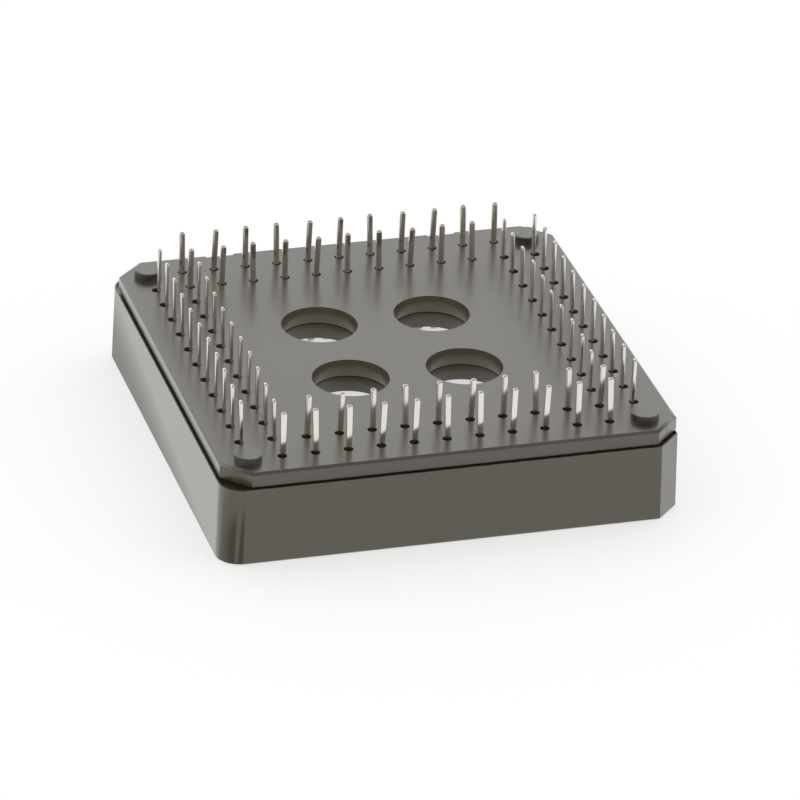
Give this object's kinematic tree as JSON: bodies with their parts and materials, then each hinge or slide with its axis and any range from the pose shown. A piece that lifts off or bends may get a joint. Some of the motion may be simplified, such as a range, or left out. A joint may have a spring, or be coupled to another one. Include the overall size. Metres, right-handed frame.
{
  "type": "chip carrier socket",
  "caption": "Square through-hole socket for a leaded chip carrier, lying on its open rim with its solder tails up.",
  "frame": {"origin": "middle of the housing's open rim, on the surface that the part lies on", "axes": "+Z from the rim towards the solder tails, -Y towards the front side, +X to the right; the flat index corner is at +X, -Y"},
  "size_m": [0.036, 0.036, 0.011],
  "materials": {
    "housing_plastic": "glass-filled moulding plastic, very dark warm brown with a satin skin and a fine moulding grain",
    "plate_plastic": "the same plastic with a smoother satin skin that picks up grey from a bright room",
    "tin_contact": "stamped copper alloy strip with bright tin plating, fine rolling lines and darker cut edges"
  },
  "bodies": {
    "root": {"housing": "housing_plastic", "base_plate": "plate_plastic", "contacts_front_01": "tin_contact", "contacts_front_02": "tin_contact", "contacts_front_03": "tin_contact", "contacts_front_04": "tin_contact", "contacts_front_05": "tin_contact", "contacts_front_06": "tin_contact", "contacts_front_07": "tin_contact", "contacts_front_08": "tin_contact", "contacts_front_09": "tin_contact", "contacts_front_10": "tin_contact", "contacts_front_11": "tin_contact", "contacts_right_01": "tin_contact", "contacts_right_02": "tin_contact", "contacts_right_03": "tin_contact", "contacts_right_04": "tin_contact", "contacts_right_05": "tin_contact", "contacts_right_06": "tin_contact", "contacts_right_07": "tin_contact", "contacts_right_08": "tin_contact", "contacts_right_09": "tin_contact", "contacts_right_10": "tin_contact", "contacts_right_11": "tin_contact", "contacts_back_01": "tin_contact", "contacts_back_02": "tin_contact", "contacts_back_03": "tin_contact", "contacts_back_04": "tin_contact", "contacts_back_05": "tin_contact", "contacts_back_06": "tin_contact", "contacts_back_07": "tin_contact", "contacts_back_08": "tin_contact", "contacts_back_09": "tin_contact", "contacts_back_10": "tin_contact", "contacts_back_11": "tin_contact", "contacts_left_01": "tin_contact", "contacts_left_02": "tin_contact", "contacts_left_03": "tin_contact", "contacts_left_04": "tin_contact", "contacts_left_05": "tin_contact", "contacts_left_06": "tin_contact", "contacts_left_07": "tin_contact", "contacts_left_08": "tin_contact", "contacts_left_09": "tin_contact", "contacts_left_10": "tin_contact", "contacts_left_11": "tin_contact"}
  },
  "joints": []
}
